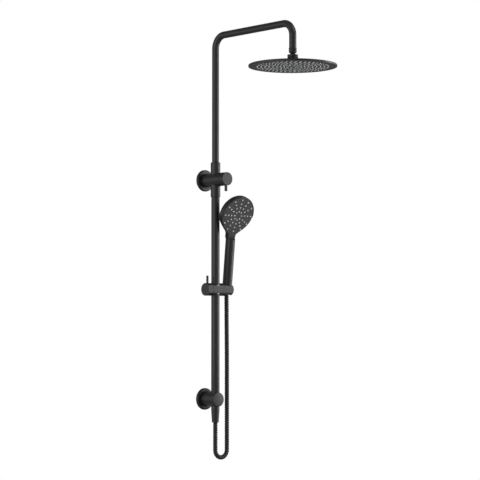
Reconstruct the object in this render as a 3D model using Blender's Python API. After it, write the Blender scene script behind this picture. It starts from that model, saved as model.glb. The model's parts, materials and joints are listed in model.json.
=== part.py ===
"""Wall-mounted rainfall shower column with a sliding hand shower.

Metres, +Z up, +X to the right along the wall, +Y into the wall (the wall plane is y = 0).
The origin is the centre of the upper wall flange, where the water comes in.
"""
from math import cos, pi, radians, sin

import bmesh
import bpy
from mathutils import Vector
from mathutils.geometry import interpolate_bezier

# ---------------------------------------------------------------- driving dimensions
GAP = 0.0003                    # clearance between pieces that touch

COLUMN_Y = -0.052               # the column's axis stands this far off the wall
LOWER_Z = -0.657                # height of the lower bracket
RAIL_R = 0.0125                 # lower rail, 25 mm tube
ARM_R = 0.0105                  # overhead arm, 21 mm tube
TUBE_WALL = 0.0012

FLANGE_R = 0.0325
FLANGE_DEPTH = 0.009
DIVERTER_R = 0.020
DIVERTER_FRONT = 0.086          # from the wall to the seam behind the knob
KNOB_FRONT = 0.107
SLEEVE_R = 0.0145
SLEEVE_REACH = 0.052
LEVER_Y = -0.0998

ARM_TOP_Z = 0.433
ARM_REACH = 0.339
ARM_BEND_R = 0.038
ARM_FOOT_Z = 0.030
ARM_END_Z = 0.3585

BALL_Z = 0.328
BALL_R = 0.0115
HEAD_R = 0.1275
HEAD_BOTTOM_Z = 0.3038
HEAD_RIM = 0.006

OUTLET_R = 0.021
OUTLET_FRONT = 0.067
SPIGOT_END_Z = -0.6905
NUT_END_Z = -0.7253

SLIDER_Z = -0.329
BAR_R = 0.019
BAR_FLAT = 0.0155                # distance of the flat front from the bar's axis
BAR_LEFT = -0.0400
CLAMP_SEAM = -0.0210
HOLDER_SEAM = 0.0240
BAR_RIGHT = 0.0615
BAR_ROUND = 0.008
HOLDER_X = 0.0457

LEAN = radians(6.1)             # forward lean of the hand shower in its holder
HANDLE_R = 0.0145
HANDLE_FOOT = 0.0140            # along the handle, from the holder's centre
HANDLE_TOP = 0.1700
FACE_UP = 0.2244                # centre of the spray face along the handle
FACE_FORWARD = 0.0270           # and in front of it
FACE_TILT = radians(19.0)       # the face leans over the handle
FACE_R = 0.0602
TAIL_HALF = 0.0155              # half width of the shell where it meets the handle
TAIL_LENGTH = 0.0735
NECK_LENGTH = 0.0645             # where the sides of the tail start to run straight
SHELL_DEPTH = 0.022

HOSE_R = 0.0065
HOSE_LOOP_Z = -0.8075           # the loop's half circle hangs below this height
HOSE_HOLDER_Z = -0.4500         # from here up the hose bends with the holder
HOSE_NUT_Z = -0.3570            # and from here up it moves with the cone nut
HOSE_TOP_Z = -0.3455
HOSE_LEAN_Z = -0.5600           # the leg leans towards the cone nut above this height
HOSE_LEAN = 0.0018

ROUND = 28                      # sides of large round pieces
SMALL = 18
TINY = 10

BLACK = (0.028, 0.028, 0.030)
BLACK_PLASTIC = (0.020, 0.020, 0.021)
BRASS = (0.60, 0.45, 0.20)
STEEL = (0.55, 0.55, 0.56)
RUBBER = (0.015, 0.015, 0.015)
NYLON = (0.70, 0.69, 0.66)
SILICONE = (0.42, 0.43, 0.44)

UP = (0, 0, 0)                  # a turned piece whose axis stays vertical
FRONT = (pi / 2, 0, 0)          # its axis points away from the wall, along -Y
RIGHT = (0, pi / 2, 0)          # its axis points along +X
BACK = (-pi / 2, 0, 0)          # its axis points into the wall, along +Y


# ---------------------------------------------------------------- helpers
def material(name, colour, roughness, metallic):
    mat = bpy.data.materials.get(name) or bpy.data.materials.new(name)
    mat.use_nodes = True
    shader = mat.node_tree.nodes["Principled BSDF"]
    shader.inputs["Base Color"].default_value = (*colour, 1)
    shader.inputs["Roughness"].default_value = roughness
    shader.inputs["Metallic"].default_value = metallic
    return mat


def black_metal(name):
    return material(name + "_matte_black", BLACK, 0.42, 0.6)


def black_plastic(name):
    return material(name + "_black_plastic", BLACK_PLASTIC, 0.5, 0.0)


def brass(name):
    return material(name + "_brass", BRASS, 0.35, 1.0)


def steel(name):
    return material(name + "_steel", STEEL, 0.35, 1.0)


def rubber(name):
    return material(name + "_rubber", RUBBER, 0.8, 0.0)


def nylon(name):
    return material(name + "_nylon", NYLON, 0.55, 0.0)


def silicone(name):
    return material(name + "_silicone", SILICONE, 0.6, 0.0)


def place(name, mesh_data, finish, location=(0, 0, 0), rotation=UP, parent=None):
    """Link a mesh as the named piece; without a finish it is a hidden guide."""
    obj = bpy.data.objects.new(name, mesh_data)
    bpy.context.scene.collection.objects.link(obj)
    obj.location = location
    obj.rotation_euler = rotation
    obj.parent = parent
    if finish is None:
        obj.hide_render = True
        obj.display_type = 'WIRE'
    elif isinstance(mesh_data, bpy.types.Mesh):
        mesh_data.materials.append(finish(name))
        mesh_data.shade_smooth()
        mesh_data.set_sharp_from_angle(angle=radians(32))
    else:
        mesh_data.materials.append(finish(name))
    return obj


def to_mesh(name, build):
    """Run a bmesh building function and return a closed mesh facing outwards."""
    bm = bmesh.new()
    build(bm)
    bmesh.ops.recalc_face_normals(bm, faces=bm.faces)
    mesh_data = bpy.data.meshes.new(name)
    bm.to_mesh(mesh_data)
    bm.free()
    return mesh_data


def turned(name, outline, finish, location=(0, 0, 0), rotation=UP, parent=None, sides=ROUND):
    """Revolve an outline of (radius, height) points about the local Z axis.

    An outline that starts and ends at radius 0 is a solid piece with flat ends; any other
    is closed on itself, and has a hole through it. Guides are turned by part of a side, so
    that their edges don't fall on the edges of what they cut.
    """
    solid = outline[0][0] == 0
    phase = 0.37 if finish is None else 0.0

    def build(bm):
        rings = []
        for radius, height in outline[1:-1] if solid else outline:
            angles = (2 * pi * (i + phase) / sides for i in range(sides))
            rings.append([bm.verts.new((radius * cos(a), radius * sin(a), height))
                          for a in angles])
        following = rings[1:] if solid else rings[1:] + rings[:1]
        for low, high in zip(rings, following):
            for i in range(sides):
                j = (i + 1) % sides
                bm.faces.new((low[i], low[j], high[j], high[i]))
        if solid:
            bm.faces.new(rings[0])
            bm.faces.new(rings[-1])
    return place(name, to_mesh(name, build), finish, location, rotation, parent)


def disc_outline(radius, low, high, edge=0.0):
    """Outline of a solid disc or rod, with a small chamfer at both ends."""
    if not edge:
        return [(0, low), (radius, low), (radius, high), (0, high)]
    return [(0, low), (radius - edge, low), (radius, low + edge), (radius, high - edge),
            (radius - edge, high), (0, high)]


def ring_outline(inner, outer, low, high):
    return [(inner, low), (outer, low), (outer, high), (inner, high)]


def rod(name, radius, low, high, finish=None, edge=0.0, **where):
    return turned(name, disc_outline(radius, low, high, edge), finish, **where)


def ring(name, inner, outer, low, high, finish, **where):
    return turned(name, ring_outline(inner, outer, low, high), finish, **where)


def o_ring(name, major, minor, height, finish, **where):
    section = [(major + minor * cos(a), height + minor * sin(a))
               for a in (2 * pi * i / 6 for i in range(6))]
    return turned(name, section, finish, sides=16, **where)


def rounded_rod_outline(radius, low, high, round_low, round_high, steps=5):
    """Outline of a rod whose ends are rounded by quarter circles."""
    points = [(0, low)]
    if round_low:
        points += [(radius - round_low + round_low * sin(a), low + round_low - round_low * cos(a))
                   for a in (pi / 2 * i / steps for i in range(steps + 1))]
    else:
        points.append((radius, low))
    if round_high:
        points += [(radius - round_high + round_high * cos(a),
                    high - round_high + round_high * sin(a))
                   for a in (pi / 2 * i / steps for i in range(steps + 1))]
    else:
        points.append((radius, high))
    return points + [(0, high)]


def modify(target, operation, others):
    for other in others:
        boolean = target.modifiers.new(operation.lower() + "_" + other.name, 'BOOLEAN')
        boolean.operation = operation
        boolean.solver = 'EXACT'
        boolean.object = other
    return target


def cut(target, *others):
    return modify(target, 'DIFFERENCE', others)


def join(target, *others):
    return modify(target, 'UNION', others)


def box(name, low, high, **where):
    """A hidden box guide between two corners."""
    def build(bm):
        bmesh.ops.create_cube(bm, size=1)
        for vert in bm.verts:
            vert.co = [(a + b) / 2 + c * (b - a) for a, b, c in zip(low, high, vert.co)]
    return place(name, to_mesh(name, build), None, **where)


def lofted(name, sections, finish, **where):
    """Skin a stack of equal-length loops of points into one closed solid."""
    def build(bm):
        loops = [[bm.verts.new(point) for point in section] for section in sections]
        count = len(loops[0])
        for low, high in zip(loops, loops[1:]):
            for i in range(count):
                j = (i + 1) % count
                bm.faces.new((low[i], low[j], high[j], high[i]))
        bm.faces.new(loops[0])
        bm.faces.new(loops[-1])
    return place(name, to_mesh(name, build), finish, **where)


def studs(name, centres, radius_low, radius_high, low, high, finish=None, sides=5, **where):
    """A guide of many small tapered studs standing along local Z."""
    def build(bm):
        for x, y in centres:
            ends = []
            for radius, height in ((radius_low, low), (radius_high, high)):
                ends.append([bm.verts.new((x + radius * cos(a), y + radius * sin(a), height))
                             for a in (2 * pi * i / sides for i in range(sides))])
            for i in range(sides):
                j = (i + 1) % sides
                bm.faces.new((ends[0][i], ends[0][j], ends[1][j], ends[1][i]))
            bm.faces.new(ends[0])
            bm.faces.new(ends[1])
    return place(name, to_mesh(name, build), finish, **where)


def nozzle_rings(rings):
    """Centres of nozzles on concentric rings of (radius, count)."""
    return [(radius * cos(2 * pi * i / count), radius * sin(2 * pi * i / count))
            for radius, count in rings for i in range(count)]


# ---------------------------------------------------------------- wall flanges and bodies
def wall_flange(name, bore_r, height):
    """Round cover flange with a rounded front rim."""
    rim, steps = 0.004, 4
    outline = [(bore_r, 0), (FLANGE_R, 0)]
    outline += [(FLANGE_R - rim + rim * cos(a), FLANGE_DEPTH - rim + rim * sin(a))
                for a in (pi / 2 * i / steps for i in range(steps + 1))]
    outline.append((bore_r, FLANGE_DEPTH))
    return turned(name, outline, black_metal, location=(0, 0, height), rotation=FRONT)


def diverter_assembly():
    wall_flange("upper_wall_flange", DIVERTER_R + GAP, 0)

    body = turned("diverter_body", disc_outline(DIVERTER_R, 0.0006, DIVERTER_FRONT),
                  black_metal, rotation=FRONT)
    sleeve_outline = [(0, -SLEEVE_REACH), (SLEEVE_R - 0.0012, -SLEEVE_REACH),
                      (SLEEVE_R, -SLEEVE_REACH + 0.003), (SLEEVE_R, SLEEVE_REACH - 0.0008),
                      (SLEEVE_R - 0.0008, SLEEVE_REACH), (0, SLEEVE_REACH)]
    column = (0, COLUMN_Y, 0)
    sleeve = turned("guide_sleeve", sleeve_outline, None, location=column)
    join(body, sleeve)
    over = 0.004
    cut(body,
        rod("guide_inlet_bore", 0.0125, -over, 0.0185, rotation=FRONT, sides=SMALL),
        rod("guide_inlet_way", 0.0060, 0.010, 0.045, rotation=FRONT, sides=TINY),
        rod("guide_rotor_bore", 0.0105, 0.0400, 0.070, rotation=FRONT, sides=SMALL),
        rod("guide_cartridge_bore", 0.0155, 0.0660, DIVERTER_FRONT + over, rotation=FRONT,
            sides=SMALL),
        rod("guide_arm_bore", ARM_R + GAP, 0.0142, SLEEVE_REACH + over, location=column,
            sides=SMALL),
        rod("guide_rail_bore", RAIL_R + GAP, -SLEEVE_REACH - over, -0.0158, location=column,
            sides=SMALL),
        rod("guide_water_way", 0.0070, -0.030, 0.030, location=column, sides=TINY),
        rod("guide_arm_screw_hole", 0.0025, 0.008, 0.020, location=(0, COLUMN_Y, 0.040),
            rotation=BACK, sides=TINY),
        rod("guide_rail_screw_hole", 0.0023, 0.008, 0.020, location=(0, COLUMN_Y, -0.040),
            rotation=BACK, sides=TINY))

    ring("inlet_bush", 0.0093, 0.0122, 0.0010, 0.0165, brass, rotation=FRONT, sides=SMALL)
    ring("inlet_seal", 0.0068, 0.0118, 0.0168, 0.0182, rubber, rotation=FRONT, sides=SMALL)
    ring("diverter_cartridge", 0.0050, 0.0152, 0.0664, 0.0760, nylon, rotation=FRONT,
         sides=SMALL)
    ring("cartridge_nut", 0.0085, 0.0152, 0.0764, 0.0850, brass, rotation=FRONT, sides=SMALL)

    rotor_outline = [(0, 0.0405), (0.0102, 0.0405), (0.0102, 0.0605), (0.0083, 0.0605),
                     (0.0083, 0.0630), (0.0102, 0.0630), (0.0102, 0.0656), (0.0045, 0.0656),
                     (0.0045, 0.0980), (0, 0.0980)]
    rotor = turned("diverter_rotor", rotor_outline, brass, rotation=FRONT, sides=SMALL)
    cut(rotor,
        rod("guide_rotor_back_way", 0.0048, 0.036, 0.055, rotation=FRONT, sides=TINY),
        rod("guide_rotor_side_way", 0.0045, 0.0, 0.012, location=(0, COLUMN_Y, 0),
            sides=TINY))
    o_ring("rotor_seal_ring", 0.00945, 0.0007, 0.0618, rubber, rotation=FRONT)

    knob_outline = [(0, 0.0985), (0.0048, 0.0985), (0.0048, 0.0900), (0.0165, 0.0900),
                    (0.0165, DIVERTER_FRONT + GAP), (DIVERTER_R, DIVERTER_FRONT + GAP),
                    (DIVERTER_R, KNOB_FRONT - 0.0008), (DIVERTER_R - 0.0008, KNOB_FRONT),
                    (0, KNOB_FRONT)]
    knob = turned("diverter_knob", knob_outline, black_metal, rotation=FRONT)
    cut(knob,
        rod("guide_lever_socket", 0.0028, -0.026, -0.0095, location=(0, LEVER_Y, 0),
            sides=TINY),
        rod("guide_grub_hole", 0.0023, 0.002, 0.026, location=(0, -0.0935, 0), sides=TINY))
    lever_outline = [(0, -0.0365), (0.0032, -0.0365), (0.0040, -0.0357), (0.0040, -0.0203),
                     (0.0025, -0.0203), (0.0025, -0.0100), (0, -0.0100)]
    turned("diverter_lever", lever_outline, black_metal, location=(0, LEVER_Y, 0), sides=TINY)
    rod("knob_grub_screw", 0.0020, 0.0049, 0.0185, steel, location=(0, -0.0935, 0),
        sides=TINY)

    rod("arm_lock_screw", 0.0022, ARM_R + 0.0006, SLEEVE_R - 0.0003, steel,
        location=(0, COLUMN_Y, 0.040), rotation=BACK, sides=TINY)
    rod("rail_lock_screw", 0.0020, 0.0098, SLEEVE_R - 0.0003, steel,
        location=(0, COLUMN_Y, -0.040), rotation=BACK, sides=TINY)


def riser_rail():
    top, bottom = -0.0175, LOWER_Z + 0.0135
    location = (0, COLUMN_Y, 0)
    rail = ring("riser_rail", RAIL_R - TUBE_WALL, RAIL_R, bottom, top, black_metal,
                location=location, sides=ROUND)
    cut(rail, rod("guide_rail_dimple", 0.0023, 0.008, 0.016,
                  location=(0, COLUMN_Y, -0.040), rotation=BACK, sides=TINY))
    ring("rail_top_seal", 0.0090, 0.0120, top + GAP, -0.0161, rubber, location=location,
         sides=SMALL)
    ring("rail_foot_seal", 0.0090, 0.0120, bottom - 0.0013, bottom - GAP, rubber,
         location=location, sides=SMALL)


def outlet_assembly():
    wall_flange("lower_wall_flange", OUTLET_R + GAP, LOWER_Z)
    centre = (0, 0, LOWER_Z)
    column = (0, COLUMN_Y, LOWER_Z)
    cap_seam = OUTLET_FRONT - 0.002
    drop = LOWER_Z - SPIGOT_END_Z

    body = turned("outlet_body", disc_outline(OUTLET_R, 0.0006, cap_seam), black_metal,
                  location=centre, rotation=FRONT)
    join(body, rod("guide_spigot", RAIL_R, -drop, -0.004, location=column, sides=ROUND))
    over = 0.004
    cut(body,
        rod("guide_boss_bore", 0.0158, -over, 0.0205, location=centre, rotation=FRONT,
            sides=SMALL),
        rod("guide_cap_bore", 0.0113, 0.0540, cap_seam + over, location=centre,
            rotation=FRONT, sides=SMALL),
        rod("guide_rail_seat", RAIL_R + GAP, 0.0120, 0.030, location=column, sides=SMALL),
        rod("guide_outlet_way", 0.0065, -0.0300, 0.014, location=column, sides=TINY),
        rod("guide_nipple_bore", 0.0101, -drop - over, -drop + 0.0085, location=column,
            sides=SMALL),
        rod("guide_fixing_grub_hole", 0.0023, -0.026, -0.010, location=(0, -0.0140, LOWER_Z),
            sides=TINY))

    cap_outline = [(0, 0.0580), (0.0110, 0.0580), (0.0110, cap_seam + GAP),
                   (OUTLET_R, cap_seam + GAP), (OUTLET_R, OUTLET_FRONT - 0.0006),
                   (OUTLET_R - 0.0006, OUTLET_FRONT), (0, OUTLET_FRONT)]
    turned("outlet_end_cap", cap_outline, black_metal, location=centre, rotation=FRONT)
    o_ring("end_cap_seal_ring", 0.0100, 0.0009, 0.0567, rubber, location=centre,
           rotation=FRONT)
    ring("lower_fixing_boss", 0.0030, 0.0155, 0.0010, 0.0200, brass, location=centre,
         rotation=FRONT, sides=SMALL)
    rod("lower_grub_screw", 0.0020, -0.0204, -0.0159, steel,
        location=(0, -0.0140, LOWER_Z), sides=TINY)

    nut_top = SPIGOT_END_Z - GAP
    ring("outlet_nipple", 0.0062, 0.0098, -0.7035, SPIGOT_END_Z + 0.0080, brass,
         location=(0, COLUMN_Y, 0), sides=SMALL)
    nut_outline = [(0.0101, nut_top), (0.0101, -0.7052), (0.0045, -0.7052),
                   (0.0045, NUT_END_Z), (0.0096, NUT_END_Z), (0.0102, NUT_END_Z + 0.0008),
                   (0.0113, -0.6968), (0.0124, nut_top)]
    turned("hose_outlet_nut", nut_outline, black_metal, location=(0, COLUMN_Y, 0),
           sides=SMALL)
    ring("hose_outlet_washer", 0.0062, 0.0097, -0.7049, -0.7038, rubber,
         location=(0, COLUMN_Y, 0), sides=SMALL)


# ---------------------------------------------------------------- overhead arm and rain head
def arm_sections(radius, sides):
    """Rings of points along the gooseneck: up, over towards the room and down."""
    steps = 5
    path = [(0.0, ARM_FOOT_Z, 0.0)]
    rise = ARM_TOP_Z - ARM_BEND_R
    for i in range(steps + 1):
        a = pi / 2 * i / steps
        path.append((ARM_BEND_R * (1 - cos(a)), rise + ARM_BEND_R * sin(a), a))
    for i in range(steps + 1):
        a = pi / 2 * i / steps
        path.append((ARM_REACH - ARM_BEND_R + ARM_BEND_R * sin(a),
                     rise + ARM_BEND_R * cos(a), pi / 2 + a))
    path.append((ARM_REACH, ARM_END_Z, pi))
    rings = []
    for out, height, turn in path:
        side = Vector((1, 0, 0))
        normal = Vector((0, -cos(turn), -sin(turn)))
        centre = Vector((0, COLUMN_Y - out, height))
        rings.append([centre + radius * (cos(a) * side + sin(a) * normal)
                      for a in (2 * pi * i / sides for i in range(sides))])
    return rings


def overhead_arm():
    sides = 16

    def build(bm):
        skins = []
        for radius in (ARM_R, ARM_R - TUBE_WALL):
            skins.append([[bm.verts.new(p) for p in section]
                          for section in arm_sections(radius, sides)])
        for skin in skins:
            for low, high in zip(skin, skin[1:]):
                for i in range(sides):
                    j = (i + 1) % sides
                    bm.faces.new((low[i], low[j], high[j], high[i]))
        for end in (0, -1):
            outer, inner = skins[0][end], skins[1][end]
            for i in range(sides):
                j = (i + 1) % sides
                bm.faces.new((outer[i], outer[j], inner[j], inner[i]))
    place("overhead_arm", to_mesh("overhead_arm", build), black_metal)

    column = (0, COLUMN_Y, 0)
    groove = 0.0084
    spigot_outline = [(0.0060, 0.0146), (0.0101, 0.0146), (0.0101, 0.0178), (groove, 0.0178),
                      (groove, 0.0202), (0.0101, 0.0202), (0.0101, 0.0232), (groove, 0.0232),
                      (groove, 0.0256), (0.0101, 0.0256), (0.0101, ARM_FOOT_Z - GAP),
                      (0.0090, ARM_FOOT_Z - GAP), (0.0090, 0.0480), (0.0060, 0.0480)]
    turned("arm_spigot", spigot_outline, brass, location=column, sides=SMALL)
    o_ring("arm_seal_ring_lower", 0.0096, 0.0008, 0.0190, rubber, location=column)
    o_ring("arm_seal_ring_upper", 0.0096, 0.0008, 0.0244, rubber, location=column)


def drop_joint():
    """The arm's end fitting and the ball that the rain head swivels on."""
    drop = (0, COLUMN_Y - ARM_REACH, 0)
    ring("arm_end_fitting", 0.0060, 0.0090, 0.3485, 0.3780, brass, location=drop,
         sides=SMALL)
    ring("arm_end_washer", 0.0060, 0.0090, 0.3468, 0.3482, rubber, location=drop,
         sides=SMALL)
    top, foot = ARM_END_Z - GAP, 0.3443
    ribs = [(0.0117, top - 0.0008), (0.0117, 0.3545), (0.0108, 0.3535), (0.0108, 0.3515),
            (0.0117, 0.3505), (0.0117, foot + 0.0010)]
    steps = 5
    ball_top = 0.85
    ball = [(BALL_R * sin(a), BALL_Z + BALL_R * cos(a))
            for a in (ball_top + (2.62 - ball_top) * i / steps for i in range(steps + 1))]
    outline = [(0.0093, top), (0.0109, top)] + ribs
    outline += [(0.0107, foot), (0.0085, foot - 0.0004), (0.0072, 0.3405), (0.0066, 0.3375)]
    outline += ball
    outline += [(0.0045, BALL_Z - BALL_R * 0.87), (0.0045, 0.3465), (0.0093, 0.3465)]
    turned("swivel_ball", outline, black_metal, location=drop, sides=SMALL)


def rain_head():
    drop = (0, COLUMN_Y - ARM_REACH, 0)
    hub_top = 0.3297
    pocket = BALL_R + 0.0004
    shell_top = HEAD_BOTTOM_Z + HEAD_RIM

    nut_outline = [(0.0146, 0.3300), (0.0155, 0.3308), (0.0155, 0.3376), (0.0146, 0.3385),
                   (0.0112, 0.3385)]
    nut_outline += [(pocket * sin(a), BALL_Z + pocket * cos(a))
                    for a in (1.02 + 0.36 * i / 3 for i in range(4))]
    turned("ball_retaining_nut", nut_outline, black_metal, location=drop, sides=SMALL)

    steps = 4
    low_angle = 2.05
    hub_outline = [(0.0060, 0.3060), (0.0175, 0.3060), (0.0175, shell_top + 0.0008),
                   (0.0212, shell_top + 0.0008), (0.0205, 0.3122), (0.0172, 0.3165),
                   (0.0156, 0.3215), (0.0150, hub_top)]
    first = 1.72
    hub_outline += [(pocket * sin(a), BALL_Z + pocket * cos(a))
                    for a in (first + (low_angle - first) * i / steps
                              for i in range(steps + 1))]
    hub_outline += [(0.0106, 0.3143), (0.0060, 0.3143)]
    turned("head_hub", hub_outline, black_metal, location=drop, sides=SMALL)
    ring("ball_seat_ring", 0.0062, 0.0078, 0.3161, 0.3172, nylon, location=drop, sides=SMALL)

    inner = HEAD_R - 0.0013
    shell_outline = [(0.0178, shell_top + 0.0003), (0.0178, shell_top - 0.0011),
                     (inner - 0.001, shell_top - 0.0018), (inner, shell_top - 0.0028),
                     (inner, HEAD_BOTTOM_Z), (HEAD_R - 0.0005, HEAD_BOTTOM_Z),
                     (HEAD_R, HEAD_BOTTOM_Z + 0.0008), (HEAD_R, shell_top - 0.0020),
                     (HEAD_R - 0.0012, shell_top - 0.0008), (HEAD_R - 0.010, shell_top)]
    turned("head_shell", shell_outline, black_metal, location=drop, sides=40)

    nozzles = nozzle_rings([(0.030, 8), (0.066, 14), (0.101, 20)])
    plate = rod("head_face_plate", inner - GAP, HEAD_BOTTOM_Z + 0.0001,
                HEAD_BOTTOM_Z + 0.0012, black_metal, location=drop, sides=40)
    cut(plate, studs("guide_head_holes", nozzles, 0.0028, 0.0028, HEAD_BOTTOM_Z - 0.003,
                     HEAD_BOTTOM_Z + 0.003, location=drop))
    mat = rod("head_nozzle_mat", 0.112, HEAD_BOTTOM_Z + 0.0015, HEAD_BOTTOM_Z + 0.0021,
              silicone, location=drop, sides=32)
    join(mat, studs("guide_head_nozzles", nozzles, 0.0014, 0.0022, HEAD_BOTTOM_Z - 0.0012,
                    HEAD_BOTTOM_Z + 0.0018, location=drop))


# ---------------------------------------------------------------- slider and holder
def front_flat(name):
    """A hidden box guide that takes the front off the bar."""
    return box(name, (BAR_LEFT - 0.010, COLUMN_Y - 0.030, SLIDER_Z - 0.030),
               (BAR_RIGHT + 0.010, COLUMN_Y - BAR_FLAT, SLIDER_Z + 0.030))


def slider_assembly():
    centre = (0, COLUMN_Y, SLIDER_Z)
    over = 0.004
    body = turned("slider_body",
                  disc_outline(BAR_R, CLAMP_SEAM + GAP, HOLDER_SEAM - GAP, 0.0004),
                  black_metal, location=centre, rotation=RIGHT)
    mouth = [(0, -0.024), (0.0185, -0.024), (0.0148, -0.0135), (0.0148, 0.0135),
             (0.0185, 0.024), (0, 0.024)]
    cut(body,
        front_flat("guide_body_flat"),
        turned("guide_rail_mouth", mouth, None, location=centre, sides=ROUND),
        rod("guide_clamp_thread", 0.0033, CLAMP_SEAM - over, -0.010, location=centre,
            rotation=RIGHT, sides=TINY),
        rod("guide_pivot_bore", 0.0053, 0.0165, HOLDER_SEAM + over, location=centre,
            rotation=RIGHT, sides=TINY),
        rod("guide_washer_recess", 0.0128, HOLDER_SEAM - 0.0010, HOLDER_SEAM + over,
            location=centre, rotation=RIGHT, sides=SMALL))
    liner = ring("slider_liner", RAIL_R + GAP, 0.0145, -0.0130, 0.0130, nylon,
                 location=centre, sides=ROUND)
    cut(liner, rod("guide_pad_window", 0.0048, -0.020, -0.010, location=centre,
                   rotation=RIGHT, sides=TINY))
    rod("clamp_pad", 0.0030, -0.0147, -0.0130, nylon, location=centre, rotation=RIGHT,
        sides=TINY)
    rod("holder_pivot_pin", 0.0050, 0.0168, 0.0296, steel, location=centre, rotation=RIGHT,
        sides=TINY)
    ring("holder_friction_washer", 0.0056, 0.0124, HOLDER_SEAM - 0.0008,
         HOLDER_SEAM - 0.0002, steel, location=centre, rotation=RIGHT, sides=SMALL)

    knob = turned("clamp_knob",
                  disc_outline(BAR_R, BAR_LEFT, CLAMP_SEAM - GAP, 0.0010),
                  black_metal, location=centre, rotation=RIGHT)
    lever_x = -0.0315
    cut(knob,
        front_flat("guide_knob_flat"),
        rod("guide_screw_socket", 0.0033, -0.0350, CLAMP_SEAM + over, location=centre,
            rotation=RIGHT, sides=TINY),
        rod("guide_clamp_lever_socket", 0.0027, 0.0085, 0.024,
            location=(lever_x, COLUMN_Y, SLIDER_Z), sides=TINY))
    lever = [(0, 0.0090), (0.0024, 0.0090), (0.0024, 0.0193), (0.0035, 0.0193),
             (0.0035, 0.0400), (0.0026, 0.0410), (0, 0.0410)]
    turned("clamp_lever", lever, black_metal, location=(lever_x, COLUMN_Y, SLIDER_Z),
           sides=TINY)
    rod("clamp_screw", 0.0030, -0.0345, -0.0151, steel, location=centre, rotation=RIGHT,
        sides=TINY)


def handset_holder(axis):
    centre = (0, COLUMN_Y, SLIDER_Z)
    over = 0.006
    holder = turned("handset_holder",
                    rounded_rod_outline(BAR_R, HOLDER_SEAM, BAR_RIGHT, 0, BAR_ROUND),
                    black_metal, location=centre, rotation=RIGHT)
    seat = [(0, -0.026), (0.0150, -0.026), (0.0117, -0.0150), (0.0141, 0.0125),
            (0.0150, 0.0132), (0.0150, 0.026), (0, 0.026)]
    cut(holder,
        front_flat("guide_holder_flat"),
        turned("guide_seat", seat, None, parent=axis, sides=ROUND),
        box("guide_hose_slot", (0, -0.0072, -0.030), (0.030, 0.0072, 0.030), parent=axis),
        rod("guide_pin_socket", 0.0053, HOLDER_SEAM - over, 0.0300, location=centre,
            rotation=RIGHT, sides=TINY))
    nut_outline = [(0.0045, -0.0150), (0.0105, -0.0150), (0.0111, -0.0142),
                   (0.0136, 0.0120), (0.0130, 0.0134), (0.0101, 0.0134), (0.0101, 0.0035),
                   (0.0045, 0.0035)]
    turned("hose_cone_nut", nut_outline, black_metal, parent=axis, sides=SMALL)
    ring("hose_cone_washer", 0.0060, 0.0097, 0.0038, 0.0050, rubber, parent=axis,
         sides=SMALL)


# ---------------------------------------------------------------- hand shower
def shell_outline(inset, tail_inset):
    """Teardrop in the face plane: a round head that narrows to a short tail."""
    start = radians(-173)
    rim = FACE_R - inset
    leave = Vector((rim * cos(start), rim * sin(start), 0))
    along = Vector((-sin(start), cos(start), 0))
    neck = Vector((-(TAIL_HALF - tail_inset), -NECK_LENGTH, 0))
    left = interpolate_bezier(leave, leave + 0.034 * along, neck + Vector((0, 0.0112, 0)),
                              neck, 10)
    left.append(Vector((neck.x, -(TAIL_LENGTH - tail_inset), 0)))
    arc_steps = 26
    first, last = start + 2 * pi, radians(-7)
    arc = [(rim * cos(first + (last - first) * i / arc_steps),
            rim * sin(first + (last - first) * i / arc_steps))
           for i in range(1, arc_steps)]
    points = [(p.x, p.y) for p in reversed(left)] + arc + [(-p.x, p.y) for p in left]
    return points


def shell_section(inset, height, tail_inset):
    return [(x, y, height) for x, y in shell_outline(inset, tail_inset)]


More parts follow.
